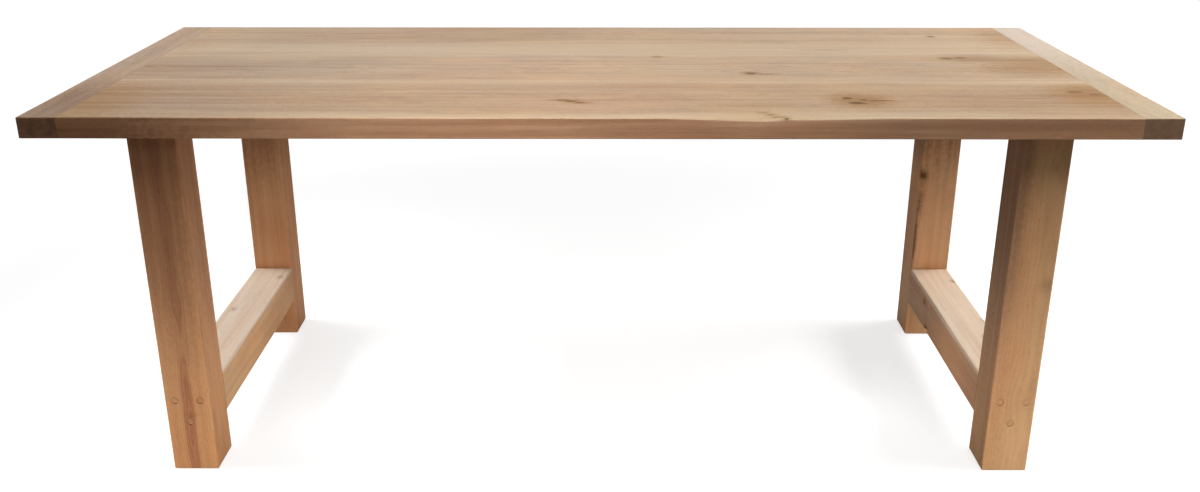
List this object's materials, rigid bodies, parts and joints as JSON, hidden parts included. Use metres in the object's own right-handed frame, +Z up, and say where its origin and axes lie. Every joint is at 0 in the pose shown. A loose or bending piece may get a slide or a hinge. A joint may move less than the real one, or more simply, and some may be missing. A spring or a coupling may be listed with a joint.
{
  "type": "trestle dining table",
  "caption": "Dining table of solid oak: a thick plank top with a board across each end, on H-shaped trestles of square beams with low dowelled stretchers.",
  "frame": {"origin": "on the floor under the middle of the top", "axes": "+X along the length, to the right as seen from the front; +Y from the front edge to the back edge; +Z up"},
  "size_m": [2.1, 0.9, 0.77],
  "materials": {
    "oak_top": "planed oak with a thin matt oil",
    "oak_pale": "paler planed oak with a thin matt oil",
    "oak_frame": "planed oak beams with a thin matt oil",
    "oak_dowel": "oak dowels cut flush",
    "steel": "zinc plated",
    "brass": "plain turned brass"
  },
  "bodies": {
    "root": {"front_board": "oak_top", "middle_board": "oak_top", "back_board": "oak_top", "left_end_board": "oak_top", "right_end_board": "oak_pale", "left_end_pegs": "oak_dowel", "right_end_pegs": "oak_dowel", "left_front_post": "oak_frame", "left_back_post": "oak_frame", "left_stretcher": "oak_frame", "left_top_rail": "oak_frame", "left_front_dowels": "oak_dowel", "left_back_dowels": "oak_dowel", "left_bolts": "steel", "left_washers": "steel", "left_inserts": "brass", "right_front_post": "oak_frame", "right_back_post": "oak_frame", "right_stretcher": "oak_frame", "right_top_rail": "oak_frame", "right_front_dowels": "oak_dowel", "right_back_dowels": "oak_dowel", "right_bolts": "steel", "right_washers": "steel", "right_inserts": "brass"}
  },
  "joints": []
}
